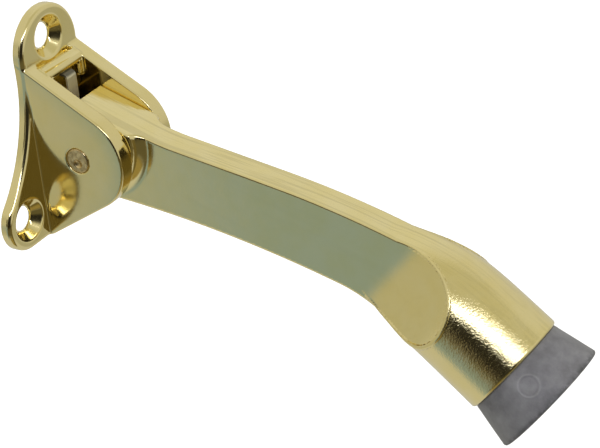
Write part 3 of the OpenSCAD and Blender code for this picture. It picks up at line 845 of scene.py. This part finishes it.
def light_tent():
    """Pale tent round the object, with a dark opening for the camera and a bright strip above it."""
    world = bpy.data.worlds.new("light_tent")
    bpy.context.scene.world = world
    world.use_nodes = True
    nodes, links = world.node_tree.nodes, world.node_tree.links
    nodes.clear()

    def calc(kind, a, b=None):
        return math_node(nodes, links, kind, a, b)

    def mix(factor, a, b):
        return mixed(nodes, links, factor, a, b)

    def step(value, low, high):
        return to_range(nodes, links, value, low, high, 0.0, 1.0)

    def both(*values):
        out = values[0]
        for v in values[1:]:
            out = calc("MULTIPLY", out, v)
        return out

    def linear(value, low, high, a, b):
        m = nodes.new("ShaderNodeMapRange")
        for key, v in (("From Min", low), ("From Max", high), ("To Min", a), ("To Max", b)):
            m.inputs[key].default_value = v
        links.new(value, m.inputs["Value"])
        return m.outputs["Result"]

    split = nodes.new("ShaderNodeSeparateXYZ")
    links.new(nodes.new("ShaderNodeTexCoord").outputs["Generated"], split.inputs[0])
    x, y, z = split.outputs
    az = calc("MULTIPLY", calc("ARCTAN2", x, y), 180 / math.pi)
    el = calc("MULTIPLY", calc("ARCSINE", z), 180 / math.pi)
    place = {"az": az, "el": el, "spread": calc("ABSOLUTE", az)}
    tent = mix(step(el, -40, 45), TENT_LOW, TENT_HIGH)
    for fades, color in TENT_PATCHES:
        tent = mix(both(*(step(place[key], low, high) for key, low, high in fades)), tent, color)

    # The camera's opening, whose rim leans, with a thin pale line just inside the rim
    to_rim = calc("SUBTRACT", az, linear(el, -40, 30, -66, -92))
    opening = both(step(to_rim, 3, -3), step(az, -158, -146), step(el, 36, 24), step(el, -48, -34))
    tent = mix(opening, tent, mix(step(el, -6, -20), (0.022, 0.020, 0.016), (0.115, 0.10, 0.055)))
    from_line = calc("ABSOLUTE", calc("ADD", to_rim, 4.0))
    line = both(step(from_line, 1.6, 0.6), step(el, 12, 0), step(el, -34, -22))
    tent = mix(line, tent, (0.36, 0.30, 0.22))

    # The bright strip, which dips a little along its length
    from_strip = calc("ABSOLUTE", calc("SUBTRACT", el, linear(az, -160, -100, 39.2, 34.2)))
    strip = both(step(from_strip, 4.6, 2.6), step(az, -168, -150), step(az, -96, -108))
    tent = mix(strip, tent, (5.2, 5.4, 7.0))

    # The camera itself sees plain white behind the object
    seen = nodes.new("ShaderNodeLightPath").outputs["Is Camera Ray"]
    background = nodes.new("ShaderNodeBackground")
    links.new(mix(seen, tent, (1.0, 1.0, 1.0)), background.inputs["Color"])
    out = nodes.new("ShaderNodeOutputWorld")
    links.new(background.outputs[0], out.inputs["Surface"])


def floor():
    """Pale floor below the lowest reach of the arm, which lights nothing and isn't mirrored."""
    level, half = -0.14, 3.0
    corners = [(-half, -half), (half, -half), (half, half), (-half, half)]
    mesh = bpy.data.meshes.new("floor")
    mesh.from_pydata([(x, y, level) for x, y in corners], [], [(0, 1, 2, 3)])
    obj = bpy.data.objects.new("floor", mesh)
    bpy.context.scene.collection.objects.link(obj)
    m, nodes, links = material("floor_paper")
    p = nodes["Principled BSDF"]
    co = nodes.new("ShaderNodeTexCoord").outputs["Object"]
    cloud = noise(nodes, links, co, 3, 2)
    color = ramp(nodes, links, cloud, (0.3, (0.86, 0.86, 0.86)), (0.7, (0.88, 0.88, 0.88)))
    links.new(color, p.inputs["Base Color"])
    links.new(color, p.inputs["Emission Color"])
    p.inputs["Emission Strength"].default_value = 0.75
    p.inputs["Roughness"].default_value = 0.9
    obj.data.materials.append(m)
    obj.visible_glossy = False
    obj.visible_diffuse = False


def camera():
    """Camera above the near side, looking down along the arm from in front of the door."""
    data = bpy.data.cameras.new("camera")
    data.lens = 120
    data.sensor_width = 36
    data.clip_start = 0.01
    obj = bpy.data.objects.new("camera", data)
    obj.location = (-0.32144, -0.26983, 0.18940)
    obj.rotation_euler = [math.radians(a) for a in (62.1527, 4.9908, -59.9770)]
    bpy.context.scene.collection.objects.link(obj)
    bpy.context.scene.camera = obj


# ---------------------------------------------------------------- the object
BRASS = (0.90, 0.78, 0.38)
# Width of the meshing cells of each piece, height of the castings' grain and rounding of the
# screw's and the washer's edges, in mm
BRACKET_STEP, ARM_STEP, PIN_STEP, SPRING_STEP = 0.30, 0.34, 0.2, 0.14
BRACKET_GRAIN, ARM_GRAIN, STEEL_EDGE = 0.005, 0.007, 0.15
# Angle above which an edge of a CAD node counts as sharp and is rounded
SHARP = math.radians(35)


def dress(obj, mat, slot_name, body=None, *stands_for):
    """Gives a piece its material and, if it is new, its body and the nodes it replaces. The slot name is not used.
    """
    obj.data.materials.clear()
    obj.data.materials.append(mat)
    if body:
        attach(obj, body)
    if stands_for:
        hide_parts(*stands_for)


def soften(obj, size):
    """Small rounded edges on a CAD node, as a modifier."""
    b = obj.modifiers.new("bevel", "BEVEL")
    b.width = size * MM
    b.segments = 3
    b.limit_method = "ANGLE"
    b.angle_limit = SHARP
    b.harden_normals = True
    obj.data.set_sharp_from_angle(angle=SHARP)


def build():
    """Every visible piece of the object, on its body."""
    bracket = casting("bracket_casting", bracket_field, "base_bracket", BRACKET_STEP)
    bracket_brass = polished_brass("bracket_brass", BRASS, BRACKET_GRAIN)
    dress(bracket, bracket_brass, "bracket_brass", "bracket", "base_bracket")
    arm = casting("arm_casting", arm_field, "arm", ARM_STEP)
    dress(arm, arm_brass(BRASS), "arm_brass", "swing_arm", "arm")
    pin = casting("pin_turned", pin_field, "pivot_pin", PIN_STEP)
    dress(pin, pin_metal(), "pin_brass", "bracket", "pivot_pin")
    spring = casting("spring_strip", spring_field, "leaf_spring", SPRING_STEP)
    dress(spring, spring_steel(), "spring_steel", "bracket", "leaf_spring")
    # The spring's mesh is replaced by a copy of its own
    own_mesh(spring)
    dress(rubber_tip(), grey_rubber(), "tip_rubber", "swing_arm", "rubber_tip")
    steel = screw_steel()
    for name, slot_name in (("tip_screw", "screw_steel"), ("tip_washer", "washer_steel")):
        obj = frame["nodes"][name]
        dress(obj, steel, slot_name)
        soften(obj, STEEL_EDGE)


build()
floor()
light_tent()
camera()
bpy.context.scene.view_settings.view_transform = "Standard"
